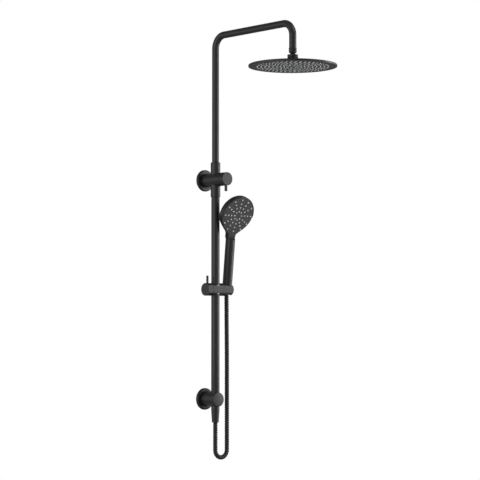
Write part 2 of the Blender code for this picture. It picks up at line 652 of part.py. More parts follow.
def hand_shower(axis):
    face = bpy.data.objects.new("handset_face_frame", None)
    bpy.context.scene.collection.objects.link(face)
    face.parent = axis
    face.location = (0, -FACE_FORWARD, FACE_UP)
    face.rotation_euler = (pi / 2 + FACE_TILT, 0, 0)

    handle_outline = [(0.0103, HANDLE_FOOT), (0.0140, HANDLE_FOOT),
                      (HANDLE_R, HANDLE_FOOT + 0.0006), (HANDLE_R, HANDLE_TOP + 0.010),
                      (0.0070, HANDLE_TOP + 0.010), (0.0070, 0.034), (0.0103, 0.034)]
    handle = turned("handset_handle", handle_outline, black_plastic, parent=axis,
                    sides=ROUND)
    margin = 0.0003
    cut(handle,
        lofted("guide_head_space", [shell_section(-margin, -0.045, -margin),
                                    shell_section(-margin, 0.040, -margin)], None,
               parent=face))
    ring("handset_thread_insert", 0.0066, 0.0097, 0.0055, 0.0337, brass, parent=axis,
         sides=SMALL)
    ring("handset_flow_washer", 0.0020, 0.0067, 0.0343, 0.0360, nylon, parent=axis,
         sides=TINY)

    shell_depths = [(0.0006, 0.0), (0.0, -0.0006), (0.0, -0.0120), (0.0008, -0.0158),
                    (0.0029, -0.0191), (0.0062, -0.0212), (0.0100, -SHELL_DEPTH)]
    shell = lofted("handset_head_shell", [shell_section(*d, 0.0) for d in shell_depths],
                   black_plastic, parent=face)
    cut(shell,
        box("guide_neck_back", (-0.04, -0.06, -0.03), (0.04, 0.01, 0), parent=face,
            location=(0, -0.040, -SHELL_DEPTH), rotation=(radians(-14.2), 0, 0)),
        rod("guide_head_hollow", 0.0450, -0.0190, -0.0110, parent=face, sides=ROUND),
        lofted("guide_head_cavity", [shell_section(0.0045, -0.0125, 0.0025),
                                     shell_section(0.0022, -0.0090, 0.0022),
                                     shell_section(0.0022, -0.0050, 0.0022),
                                     shell_section(0.0022, 0.0040, 0.0022)], None,
               parent=face),
        rod("guide_tail_way", 0.0050, -TAIL_LENGTH - 0.008, -TAIL_LENGTH + 0.020,
            parent=face, location=(0, 0, -0.0082), rotation=(-pi / 2, 0, 0), sides=TINY))

    nozzles = nozzle_rings([(0.0132, 8), (0.0257, 12), (0.0376, 12), (0.0500, 12)])
    plate = lofted("handset_face_plate", [shell_section(0.0026, -0.0014, 0.0026),
                                          shell_section(0.0026, -0.0002, 0.0026)],
                   black_plastic, parent=face)
    cut(plate, studs("guide_face_holes", nozzles, 0.0026, 0.0026, -0.004, 0.003,
                     parent=face))
    mat = rod("handset_nozzle_mat", 0.0545, -0.0030, -0.0017, silicone, parent=face,
              sides=SMALL)
    join(mat, studs("guide_face_nozzles", nozzles, 0.0021, 0.0015, -0.0024, 0.0010,
                    parent=face))
    rod("handset_spray_former", 0.0500, -0.0055, -0.0033, nylon, parent=face, sides=SMALL)


# ---------------------------------------------------------------- hose
def hose_leg(x, start, end, count):
    """Points up or down one leg, with a slight lean into the cone nut near its top."""
    points = []
    for i in range(count + 1):
        height = start + (end - start) * i / count
        t = min(max((height - HOSE_LEAN_Z) / (HOSE_NUT_Z - HOSE_LEAN_Z), 0), 1)
        points.append((x, COLUMN_Y + HOSE_LEAN * t * t * (3 - 2 * t), height))
    return points


def hose_loop(count):
    """Points round the half circle under the two legs, without its two ends."""
    radius = HOLDER_X / 2
    return [(radius - radius * cos(pi * i / count), COLUMN_Y,
             HOSE_LOOP_Z - radius * sin(pi * i / count)) for i in range(1, count)]


def hose_piece(name, points):
    curve = bpy.data.curves.new(name, 'CURVE')
    curve.dimensions = '3D'
    curve.bevel_depth = HOSE_R
    curve.bevel_resolution = 3
    curve.use_fill_caps = True
    spline = curve.splines.new('POLY')
    spline.points.add(len(points) - 1)
    for knot, point in zip(spline.points, points):
        knot.co = (*point, 1)
    return place(name, curve, rubber)


def hose():
    """The hose in three lengths: it hangs from the column, bends with the holder, and
    its last stretch inside the holder moves with the cone nut."""
    hose_piece("shower_hose", hose_leg(0, NUT_END_Z - GAP, HOSE_LOOP_Z, 3) + hose_loop(12)
               + hose_leg(HOLDER_X, HOSE_LOOP_Z, HOSE_HOLDER_Z, 10))
    hose_piece("hose_holder_end",
               hose_leg(HOLDER_X, HOSE_HOLDER_Z + GAP, HOSE_NUT_Z, 5))
    hose_piece("hose_nut_end", hose_leg(HOLDER_X, HOSE_NUT_Z + GAP, HOSE_TOP_Z, 1))


def clear_scene():
    for obj in list(bpy.data.objects):
        bpy.data.objects.remove(obj)


def main():
    clear_scene()
    diverter_assembly()
    riser_rail()
    outlet_assembly()
    overhead_arm()
    drop_joint()
    rain_head()
    slider_assembly()
    axis = bpy.data.objects.new("handset_axis", None)
    bpy.context.scene.collection.objects.link(axis)
    axis.location = (HOLDER_X, COLUMN_Y, SLIDER_Z)
    axis.rotation_euler = (LEAN, 0, 0)
    handset_holder(axis)
    hand_shower(axis)
    hose()


main()
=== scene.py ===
"""Looks of the wall-mounted rainfall shower column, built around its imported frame.

Metres, in the frame's own axes: +X right along the wall, +Y into the wall, +Z up, with the
origin at the centre of the upper wall flange.
"""
import json
from itertools import product
from math import ceil, cos, pi, radians, sin, tan

import bmesh
import bpy
import numpy as np
from mathutils import Euler, Matrix, Vector
from mathutils.geometry import delaunay_2d_cdt, interpolate_bezier


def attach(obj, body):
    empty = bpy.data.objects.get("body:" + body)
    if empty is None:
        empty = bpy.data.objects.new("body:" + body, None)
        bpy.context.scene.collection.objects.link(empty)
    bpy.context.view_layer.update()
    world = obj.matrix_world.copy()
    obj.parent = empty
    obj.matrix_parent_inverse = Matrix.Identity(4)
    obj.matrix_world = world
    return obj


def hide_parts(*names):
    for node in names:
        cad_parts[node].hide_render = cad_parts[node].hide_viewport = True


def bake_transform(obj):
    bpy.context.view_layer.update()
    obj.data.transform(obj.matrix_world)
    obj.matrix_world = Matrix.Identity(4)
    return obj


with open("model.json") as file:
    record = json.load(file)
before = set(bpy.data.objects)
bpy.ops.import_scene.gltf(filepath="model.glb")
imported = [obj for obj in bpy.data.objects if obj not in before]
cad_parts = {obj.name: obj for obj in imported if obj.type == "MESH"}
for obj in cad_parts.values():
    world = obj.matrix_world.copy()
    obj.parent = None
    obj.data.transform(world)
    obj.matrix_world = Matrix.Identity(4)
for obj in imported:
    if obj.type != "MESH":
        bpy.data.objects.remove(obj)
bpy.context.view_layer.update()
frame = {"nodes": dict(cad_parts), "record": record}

# ---------------------------------------------------------------- dimensions of the frame
GAP = 0.0003                    # between pieces that touch
COLUMN_Y = -0.052               # the axis of the rail and the arm
LOWER_Z = -0.657                # the lower bracket
DIVERTER_R = 0.020
OUTLET_R = 0.021
RAIL_R = 0.0125

ARM_R = 0.0105
ARM_REACH = 0.339
ARM_TOP = 0.433
ARM_BEND = 0.038
BALL_Z = 0.328                  # the ball joint of the rain head
BALL_R = 0.0115
HEAD_R = 0.1275
HEAD_BOTTOM = 0.3038
HEAD_TOP = HEAD_BOTTOM + 0.006

SLIDER_Z = -0.329
BAR_R = 0.019                   # the slider's bar, which lies along X
BAR_FLAT = 0.0155               # from the bar's axis to its flat front
LEVER_X = -0.0315
HOLDER_X = 0.0457               # where the hand shower's axis crosses the bar

LEAN = radians(6.1)             # of the hand shower, forward
FACE_TILT = radians(19.0)       # of its face, down from the handle's own direction
FACE_R = 0.0602
HANDLE_R = 0.0145
HANDSET_DEPTH = 0.022

HOSE_R = 0.0069

FRONT = (pi / 2, 0, 0)          # a turned piece whose axis points away from the wall
COLUMN = (0, COLUMN_Y, 0)
DROP = (0, COLUMN_Y - ARM_REACH, 0)
BAR = (0, COLUMN_Y, SLIDER_Z)

HANDSET = (Matrix.Translation((HOLDER_X, COLUMN_Y, SLIDER_Z))
           @ Euler((LEAN, 0, 0)).to_matrix().to_4x4())
FACE = (HANDSET @ Matrix.Translation((0, -0.0270, 0.2244))
        @ Euler((pi / 2 + FACE_TILT, 0, 0)).to_matrix().to_4x4())

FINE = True


# ---------------------------------------------------------------- camera
def make_camera():
    data = bpy.data.cameras.new("camera")
    data.sensor_width = 36
    data.lens = 129.554
    data.shift_x, data.shift_y = -0.00088, 0.00108
    camera = bpy.data.objects.new("camera", data)
    camera.location = (-3.37308, -3.97219, -0.42552)
    camera.rotation_euler = (pi / 2 + 0.047, 0, -0.725)
    bpy.context.scene.collection.objects.link(camera)
    bpy.context.scene.camera = camera


# ---------------------------------------------------------------- materials
def new_material(name):
    mat = bpy.data.materials.new(name)
    mat.use_nodes = True
    return mat, mat.node_tree.nodes, mat.node_tree.links


def noise(nodes, links, coords, scale, detail=3.0, stretch=None):
    """A noise texture in the object's own coordinates, in metres."""
    tex = nodes.new("ShaderNodeTexNoise")
    tex.inputs["Scale"].default_value = scale
    tex.inputs["Detail"].default_value = detail
    if stretch:
        mapping = nodes.new("ShaderNodeMapping")
        mapping.inputs["Scale"].default_value = stretch
        links.new(coords.outputs["Object"], mapping.inputs["Vector"])
        links.new(mapping.outputs["Vector"], tex.inputs["Vector"])
    else:
        links.new(coords.outputs["Object"], tex.inputs["Vector"])
    return tex


def ranged(nodes, links, source, low, high):
    """Map a noise's middle range to low..high."""
    node = nodes.new("ShaderNodeMapRange")
    node.inputs["From Min"].default_value = 0.3
    node.inputs["From Max"].default_value = 0.7
    node.inputs["To Min"].default_value = low
    node.inputs["To Max"].default_value = high
    links.new(source, node.inputs["Value"])
    return node.outputs["Result"]


def coated(name, colour, rough, grain, bump, spread=0.18, metallic=0.0, specular=0.5,
           stretch=None, drift=14.0):
    """A surface with drifting tone and roughness, and a fine grain in its bump.

    grain is the size of the bumps in metres, and bump their height in metres.
    """
    mat, nodes, links = new_material(name)
    shader = nodes["Principled BSDF"]
    coords = nodes.new("ShaderNodeTexCoord")
    cloud = noise(nodes, links, coords, drift, 4.0)
    fine = noise(nodes, links, coords, 1.0 / grain, 2.0, stretch)

    mixer = nodes.new("ShaderNodeMix")
    mixer.data_type = 'RGBA'
    mixer.inputs["A"].default_value = (*[c * (1 - spread) for c in colour], 1)
    mixer.inputs["B"].default_value = (*[c * (1 + spread) for c in colour], 1)
    both = nodes.new("ShaderNodeMath")
    both.operation = 'MULTIPLY_ADD'
    both.inputs[1].default_value = 0.45
    links.new(fine.outputs["Fac"], both.inputs[0])
    scaled = nodes.new("ShaderNodeMath")
    scaled.operation = 'MULTIPLY'
    scaled.inputs[1].default_value = 0.55
    links.new(cloud.outputs["Fac"], scaled.inputs[0])
    links.new(scaled.outputs["Value"], both.inputs[2])
    links.new(ranged(nodes, links, both.outputs["Value"], 0.0, 1.0), mixer.inputs["Factor"])
    links.new(mixer.outputs["Result"], shader.inputs["Base Color"])
    links.new(ranged(nodes, links, both.outputs["Value"], rough - 0.04, rough + 0.05),
              shader.inputs["Roughness"])

    relief = nodes.new("ShaderNodeBump")
    relief.inputs["Strength"].default_value = 1.0
    relief.inputs["Distance"].default_value = bump
    links.new(fine.outputs["Fac"], relief.inputs["Height"])
    links.new(relief.outputs["Normal"], shader.inputs["Normal"])
    shader.inputs["Metallic"].default_value = metallic
    shader.inputs["Specular IOR Level"].default_value = specular
    return mat


def make_materials():
    return {
        "matte_black": coated("matte_black_coat", (0.020, 0.020, 0.0205), 0.36, 0.0009, 0.00003),
        "black_plastic": coated("satin_black_plastic", (0.018, 0.018, 0.0185), 0.38, 0.0006,
                                0.00002),
        "face_plastic": coated("face_black_plastic", (0.055, 0.055, 0.056), 0.42, 0.0005,
                               0.00003),
        "black_hose": coated("ribbed_hose_black", (0.014, 0.014, 0.0145), 0.34, 0.0008, 0.00002),
        "nozzle_silicone": coated("nozzle_silicone_grey", (0.80, 0.81, 0.82), 0.55, 0.0008,
                                  0.00002, spread=0.05),
        "plain_brass": coated("machined_brass", (0.62, 0.44, 0.18), 0.30, 0.0004, 0.00001,
                              spread=0.12, metallic=1.0, stretch=(1, 1, 6)),
        "stainless": coated("machined_steel", (0.55, 0.55, 0.56), 0.28, 0.0003, 0.00001,
                            spread=0.08, metallic=1.0, stretch=(6, 1, 1)),
        "seal_rubber": coated("seal_rubber_black", (0.015, 0.015, 0.015), 0.75, 0.0005, 0.00003),
        "nylon": coated("moulded_nylon", (0.68, 0.67, 0.63), 0.5, 0.0006, 0.00002, spread=0.04),
    }


# ---------------------------------------------------------------- mesh helpers
def link_mesh(name, mesh_data):
    obj = bpy.data.objects.new(name, mesh_data)
    bpy.context.scene.collection.objects.link(obj)
    return obj


def finish_piece(obj, body, nodes, slot, material=None, ride=True):
    """Give a piece its material, taken from its slot unless another is named, attach it to its body
    when it rides, and hide the nodes that it stands for.
    """
    obj.data.materials.clear()
    obj.data.materials.append(MATERIALS[material or slot])
    if ride:
        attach(obj, body)
    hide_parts(*nodes)
    return obj


def smooth_mesh(bm, name, angle=38):
    bmesh.ops.recalc_face_normals(bm, faces=bm.faces)
    mesh_data = bpy.data.meshes.new(name)
    bm.to_mesh(mesh_data)
    bm.free()
    mesh_data.shade_smooth()
    mesh_data.set_sharp_from_angle(angle=radians(angle))
    return mesh_data


def rounded(corners, steps=5, closed=False):
    """Turn (radius, height, fillet) corners into an outline with rounded corners."""
    outline, count = [], len(corners)
    for i, (r, h, fillet) in enumerate(corners):
        if not fillet or (not closed and i in (0, count - 1)):
            outline.append((r, h))
            continue
        here = Vector((r, h))
        before = Vector(corners[i - 1][:2]) - here
        after = Vector(corners[(i + 1) % count][:2]) - here
        half = before.angle(after) / 2
        reach = min(fillet / tan(half), 0.48 * before.length, 0.48 * after.length)
        a, b = here + before.normalized() * reach, here + after.normalized() * reach
        pull = 4 / 3 * tan((pi / 2 - half) / 2) * tan(half)
        curve = interpolate_bezier(a.to_3d(), a.lerp(here, pull).to_3d(),
                                   b.lerp(here, pull).to_3d(), b.to_3d(), steps + 1)
        outline += [(p.x, p.y) for p in curve]
    return outline


def turned(name, corners, location=(0, 0, 0), rotation=(0, 0, 0), sides=96, closed=False,
           steps=5):
    """A lathe-turned piece; closed outlines have a hole through them."""
    outline = rounded(corners, steps, closed)
    bm = bmesh.new()
    rings = []
    for r, h in outline:
        if r < 1e-7:
            rings.append([bm.verts.new((0, 0, h))])
        else:
            rings.append([bm.verts.new((r * cos(a), r * sin(a), h))
                          for a in (2 * pi * i / sides for i in range(sides))])
    pairs = list(zip(rings, rings[1:])) + ([(rings[-1], rings[0])] if closed else [])
    for low, high in pairs:
        for i in range(sides):
            j = (i + 1) % sides
            face = [low[i % len(low)], low[j % len(low)], high[j % len(high)], high[i % len(high)]]
            unique = list(dict.fromkeys(face))
            if len(unique) > 2:
                bm.faces.new(unique)
    obj = link_mesh(name, smooth_mesh(bm, name))
    obj.location, obj.rotation_euler = location, rotation
    return obj


def frames_along(path):
    """Centre and tangent at each point of a path."""
    points = [Vector(p) for p in path]
    rows = []
    for i, p in enumerate(points):
        tangent = (points[min(i + 1, len(points) - 1)] - points[max(i - 1, 0)]).normalized()
        rows.append((p, tangent))
    return rows


def tube(name, path, side, radius_at, sides, ends=True):
    """Sweep a ring along a path; side is a direction that the path never runs along."""
    bm = bmesh.new()
    rings = []
    for i, (centre, tangent) in enumerate(frames_along(path)):
        across = (side - tangent * side.dot(tangent)).normalized()
        normal = tangent.cross(across)
        rings.append([bm.verts.new(centre + radius_at(i, j) * (
            cos(2 * pi * j / sides) * across + sin(2 * pi * j / sides) * normal))
                      for j in range(sides)])
    for low, high in zip(rings, rings[1:]):
        for j in range(sides):
            k = (j + 1) % sides
            bm.faces.new((low[j], low[k], high[k], high[j]))
    if ends:
        bm.faces.new(rings[0])
        bm.faces.new(rings[-1])
    return link_mesh(name, smooth_mesh(bm, name, 60))


# ---------------------------------------------------------------- surfaces from distance fields
def local(points, matrix):
    """Points of the frame in the axes of a matrix."""
    inverse = np.array(matrix.inverted(), float)
    return points @ inverse[:3, :3].T + inverse[:3, 3]


def rod_field(along, across, low, high, radius, edge):
    """Distance to a rod, from the height and the distance off its axis, with rounded edges."""
    q = np.stack([across - radius + edge,
                  np.abs(along - (low + high) / 2) - (high - low) / 2 + edge])
    return np.minimum(q.max(0), 0) + np.linalg.norm(np.maximum(q, 0), axis=0) - edge


def rod_x(p, centre, low, high, radius, edge=0.0004):
    across = np.hypot(p[:, 1] - centre[1], p[:, 2] - centre[2])
    return rod_field(p[:, 0], across, low, high, radius, edge)


def rod_y(p, centre, low, high, radius, edge=0.0004):
    across = np.hypot(p[:, 0] - centre[0], p[:, 2] - centre[2])
    return rod_field(p[:, 1], across, low, high, radius, edge)


def rod_z(p, centre, low, high, radius, edge=0.0004):
    across = np.hypot(p[:, 0] - centre[0], p[:, 1] - centre[1])
    return rod_field(p[:, 2], across, low, high, radius, edge)


def blend_min(a, b, k):
    """Union with a fillet about k wide where the two surfaces meet."""
    h = np.clip(0.5 + 0.5 * (b - a) / k, 0, 1)
    return b + (a - b) * h - k * h * (1 - h)


def carve(a, b, k=0.0008):
    """Take b out of a, with edges rounded by about k."""
    return -blend_min(-a, b, k)


def skin(name, field, low, high, cell, keep):
    """Mesh the surface where field is zero, and give it the field's own normals.

    keep is the share of faces that stays after the flat stretches are thinned out.
    """
    cell = cell if FINE else cell * 1.7
    axes = [np.arange(a - 1.5 * cell, b + 2.5 * cell, cell) for a, b in zip(low, high)]
    shape = tuple(len(a) for a in axes)
    inside = np.empty(shape, bool)
    plane = np.stack(np.meshgrid(axes[1], axes[2], indexing="ij"), -1).reshape(-1, 2)
    slab = 8
    for i in range(0, shape[0], slab):
        xs = axes[0][i:i + slab]
        p = np.concatenate([np.repeat(xs, len(plane))[:, None], np.tile(plane, (len(xs), 1))], 1)
        inside[i:i + slab] = (field(p) < 0).reshape(len(xs), *shape[1:])

    corners = [inside[i:shape[0] - 1 + i, j:shape[1] - 1 + j, k:shape[2] - 1 + k]
               for i, j, k in product((0, 1), repeat=3)]
    count = sum(c.astype(np.int8) for c in corners)
    active = (count > 0) & (count < 8)
    number = np.full(active.shape, -1)
    number[active] = np.arange(active.sum())
    where = np.argwhere(active)
    points = np.stack([axes[d][where[:, d]] for d in range(3)], 1) + cell / 2

    quads = []
    for d in range(3):
        e, f = (d + 1) % 3, (d + 2) % 3
        lower = np.take(inside, range(shape[d] - 1), axis=d)
        upper = np.take(inside, range(1, shape[d]), axis=d)
        edge = np.argwhere(lower != upper)
        faces_up = lower[tuple(edge.T)]
        ring = []
        for de, df in ((1, 1), (0, 1), (0, 0), (1, 0)):
            at = edge.copy()
            at[:, e] -= de
            at[:, f] -= df
            ring.append(number[tuple(at.T)])
        quad = np.stack(ring, 1)
        quad[~faces_up] = quad[~faces_up][:, ::-1]
        quads.append(quad)
    quads = np.concatenate(quads)

    def slope(p):
        h = cell * 0.08
        return np.stack([field(p + h * axis) - field(p - h * axis)
                         for axis in np.eye(3)], 1) / (2 * h)

    def settle(p, rounds):
        for _ in range(rounds):
            g = slope(p)
            step = field(p) / np.maximum((g * g).sum(1), 0.2)
            p = p - np.clip(step, -cell, cell)[:, None] * g
        return p

    points = settle(points, 5)
    ends = np.concatenate([quads[:, [i, (i + 1) % 4]] for i in range(4)])
    ends = np.concatenate([ends, ends[:, ::-1]])
    share = np.bincount(ends[:, 0], minlength=len(points))
    for _ in range(4):
        mean = np.stack([np.bincount(ends[:, 0], points[ends[:, 1], d], len(points))
                         for d in range(3)], 1) / share[:, None]
        points = settle(points + 0.5 * (mean - points), 2)

    mesh_data = bpy.data.meshes.new(name)
    mesh_data.from_pydata(points.tolist(), [], quads.tolist())
    obj = link_mesh(name, mesh_data)
    thin = obj.modifiers.new("thin", 'DECIMATE')
    thin.ratio = keep
    settled = bpy.data.meshes.new_from_object(
        obj.evaluated_get(bpy.context.evaluated_depsgraph_get()))
    obj.modifiers.clear()
    obj.data = settled
    settled.name = name
    co = np.array([v.co for v in settled.vertices], float)
    co = settle(co, 2)
    settled.vertices.foreach_set("co", co.astype(np.float32).ravel())
    settled.update()
    settled.shade_smooth()
    normal = slope(co)
    normal /= np.maximum(np.linalg.norm(normal, axis=1), 1e-9)[:, None]
    settled.normals_split_custom_set_from_vertices(normal.tolist())
    return obj


# ---------------------------------------------------------------- perforated plates and nozzles
def ring_centres(rings):
    """Centres of nozzles on concentric rings of (radius, count)."""
    return [(radius * cos(2 * pi * i / count), radius * sin(2 * pi * i / count))
            for radius, count in rings for i in range(count)]


def distance_to_outline(points, outline):
    """Signed distance of 2D points to a closed outline, negative inside."""
    a = np.array(outline, float)
    b = np.roll(a, -1, axis=0)
    best = np.full(len(points), 1e9)
    crossings = np.zeros(len(points), bool)
    for (ax, ay), (bx, by) in zip(a, b):
        dx, dy = bx - ax, by - ay
        t = np.clip(((points[:, 0] - ax) * dx + (points[:, 1] - ay) * dy)
                    / max(dx * dx + dy * dy, 1e-18), 0, 1)
        best = np.minimum(best, np.hypot(points[:, 0] - ax - t * dx, points[:, 1] - ay - t * dy))
        spans = (ay > points[:, 1]) != (by > points[:, 1])
        side = points[:, 0] < ax + dx * (points[:, 1] - ay) / (dy if abs(dy) > 1e-15 else 1e-15)
        crossings ^= spans & side
    return np.where(crossings, -best, best)


def perforated(name, outline, inset_outline, centres, hole_r, front, back, chamfer=0.00025):
    """A flat plate with rounded edges and countersunk holes. Its front faces +Z."""
    sides = 14
    turn = [(cos(2 * pi * i / sides), sin(2 * pi * i / sides)) for i in range(sides)]
    mouth = hole_r + chamfer
    points = [Vector(p) for p in inset_outline]
    edges = [(i, (i + 1) % len(points)) for i in range(len(points))]
    starts = []
    for x, y in centres:
        first = len(points)
        starts.append(first)
        points += [Vector((x + mouth * c, y + mouth * s)) for c, s in turn]
        edges += [(first + i, first + (i + 1) % sides) for i in range(sides)]
    flat, _, triangles, origins, _, _ = delaunay_2d_cdt(points, edges, [], 0, 1e-7)
    centre = np.array([[sum(flat[i][d] for i in t) / 3 for d in (0, 1)] for t in triangles])
    keep = distance_to_outline(centre, [p[:] for p in inset_outline]) < 0
    for x, y in centres:
        keep &= np.hypot(centre[:, 0] - x, centre[:, 1] - y) > mouth * 0.955
    bm = bmesh.new()
    top = {}
    for triangle, wanted in zip(triangles, keep):
        if wanted:
            for i in triangle:
                if i not in top:
                    top[i] = bm.verts.new((*flat[i], front))
            bm.faces.new([top[i] for i in triangle])
    of_input = {source: i for i, sources in enumerate(origins) for source in sources}

    def wall(loop, rows):
        """Run a closed loop of vertices down through rows of positions."""
        for row in rows:
            below = [bm.verts.new(p) for p in row]
            for i in range(len(loop)):
                j = (i + 1) % len(loop)
                bm.faces.new((loop[i], below[i], below[j], loop[j]))
            loop = below
        return loop

    rim = [top[of_input[i]] for i in range(len(inset_outline))]
    rim = wall(rim, [[(x, y, front - chamfer) for x, y in outline],
                     [(x, y, back) for x, y in outline]])
    underside = list(rim)
    holes = []
    for (x, y), first in zip(centres, starts):
        loop = [top[of_input[first + i]] for i in range(sides)]
        holes.append(wall(loop, [
            [(x + hole_r * c, y + hole_r * s, front - chamfer) for c, s in turn],
            [(x + mouth * c, y + mouth * s, back) for c, s in turn]]))
    # the back repeats the front's triangles on the wall's last rows
    back_of = {top[of_input[i]]: v for i, v in enumerate(underside)}
    for first, loop in zip(starts, holes):
        back_of.update({top[of_input[first + i]]: v for i, v in enumerate(loop)})
    for triangle, wanted in zip(triangles, keep):
        if wanted and all(top[i] in back_of for i in triangle):
            bm.faces.new([back_of[top[i]] for i in reversed(triangle)])
    return link_mesh(name, smooth_mesh(bm, name, 30))


def nozzles(name, centres, corners, base, base_r, base_low, sides=14):
    """Soft nozzles standing on a thin mat behind a plate, all one moulding."""
    outline = rounded(corners, 3)
    bm = bmesh.new()
    turn = [(cos(2 * pi * i / sides), sin(2 * pi * i / sides)) for i in range(sides)]
    for x, y in centres:
        rings = []
        for r, h in outline:
            rings.append([bm.verts.new((x + r * c, y + r * s, h)) for c, s in turn])
        for low, high in zip(rings, rings[1:]):
            for i in range(sides):
                j = (i + 1) % sides
                bm.faces.new((low[i], low[j], high[j], high[i]))
        bm.faces.new(rings[0])
        bm.faces.new(rings[-1])
    round_mat = 72
    low_ring, high_ring = ([bm.verts.new((base_r * cos(a), base_r * sin(a), h))
                            for a in (2 * pi * i / round_mat for i in range(round_mat))]
                           for h in (base_low, base))
    for i in range(round_mat):
        j = (i + 1) % round_mat
        bm.faces.new((low_ring[i], low_ring[j], high_ring[j], high_ring[i]))
    bm.faces.new(low_ring)
    bm.faces.new(high_ring)
    return link_mesh(name, smooth_mesh(bm, name, 40))


# ---------------------------------------------------------------- hose
HOSE_LOOP_Z = -0.8075
HOSE_FOOT_Z = -0.7256
HOSE_HOLDER_Z = -0.4500
HOSE_NUT_Z = -0.3570
HOSE_TOP_Z = -0.3455
HOSE_LEAN_Z = -0.5600
HOSE_LEAN = 0.0018
RIB_PITCH = 0.0071
RIB_DEPTH = 0.0015
RIB_RINGS = 14                  # rings of points to each rib
HOSE_SIDES = 28


def hose_leg(x, start, end, step=0.004):
    """Points up or down one leg, with a slight lean into the cone nut near its top."""
    count = max(1, ceil(abs(end - start) / step))
    points = []
    for i in range(count + 1):
        height = start + (end - start) * i / count
        t = min(max((height - HOSE_LEAN_Z) / (HOSE_NUT_Z - HOSE_LEAN_Z), 0), 1)
        points.append((x, COLUMN_Y + HOSE_LEAN * t * t * (3 - 2 * t), height))
    return points


def hose_loop(count=40):
    radius = HOLDER_X / 2
    return [(radius - radius * cos(pi * i / count), COLUMN_Y,
             HOSE_LOOP_Z - radius * sin(pi * i / count)) for i in range(1, count)]


def evenly(path, step):
    """The same line with points at equal steps, and its length."""
    p = np.array(path, float)
    along = np.concatenate([[0], np.cumsum(np.linalg.norm(np.diff(p, axis=0), axis=1))])
    count = max(2, round(along[-1] / step))
    at = np.linspace(0, along[-1], count + 1)
    return np.stack([np.interp(at, along, p[:, d]) for d in range(3)], 1), float(along[-1])


def ribbed_hose(name, path, phase):
    """A spiral-wound hose: rounded bands with a narrow groove between them."""
    points, length = evenly(path, RIB_PITCH / RIB_RINGS)

    def radius_at(i, j):
        turn = (phase + i / (len(points) - 1) * length / RIB_PITCH + j / HOSE_SIDES) % 1.0
        return HOSE_R - RIB_DEPTH * abs(2 * turn - 1) ** 2.2

    obj = tube(name, points, Vector((0, 1, 0)), radius_at, HOSE_SIDES)
    return obj, points, length


def make_hose():
    main_path = (hose_leg(0, HOSE_FOOT_Z, HOSE_LOOP_Z) + hose_loop()
                 + hose_leg(HOLDER_X, HOSE_LOOP_Z, HOSE_HOLDER_Z))
    main, main_points, main_length = ribbed_hose("shower_hose_ribbed", main_path, 0.0)
    finish_piece(main, None, ["shower_hose"], "black_hose", ride=False)
    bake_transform(main)

    phase = main_length / RIB_PITCH
    upper, upper_points, upper_length = ribbed_hose(
        "hose_holder_end_ribbed", hose_leg(HOLDER_X, HOSE_HOLDER_Z, HOSE_NUT_Z), phase)
    finish_piece(upper, None, ["hose_holder_end"], "black_hose", ride=False)
    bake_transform(upper)

    phase += upper_length / RIB_PITCH
    top, top_points, _ = ribbed_hose(
        "hose_nut_end_ribbed", hose_leg(HOLDER_X, HOSE_NUT_Z, HOSE_TOP_Z), phase)
    finish_piece(top, None, ["hose_nut_end"], "black_hose", ride=False)
    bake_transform(top)


# ---------------------------------------------------------------- wall brackets
def make_flange(name, node, bore, height):
    obj = turned(name, [
        (bore, 0.0003, 0.0002), (0.0319, 0.0003, 0.0004), (0.0325, 0.0012, 0.0006),
        (0.0325, 0.0090, 0.0042), (bore + 0.0020, 0.0090, 0.0004),
        (bore + 0.0012, 0.0082, 0.0004), (bore, 0.0082, 0.0002)],
        location=(0, 0, height), rotation=FRONT, closed=True, steps=8)
    finish_piece(obj, "column", [node], "matte_black")


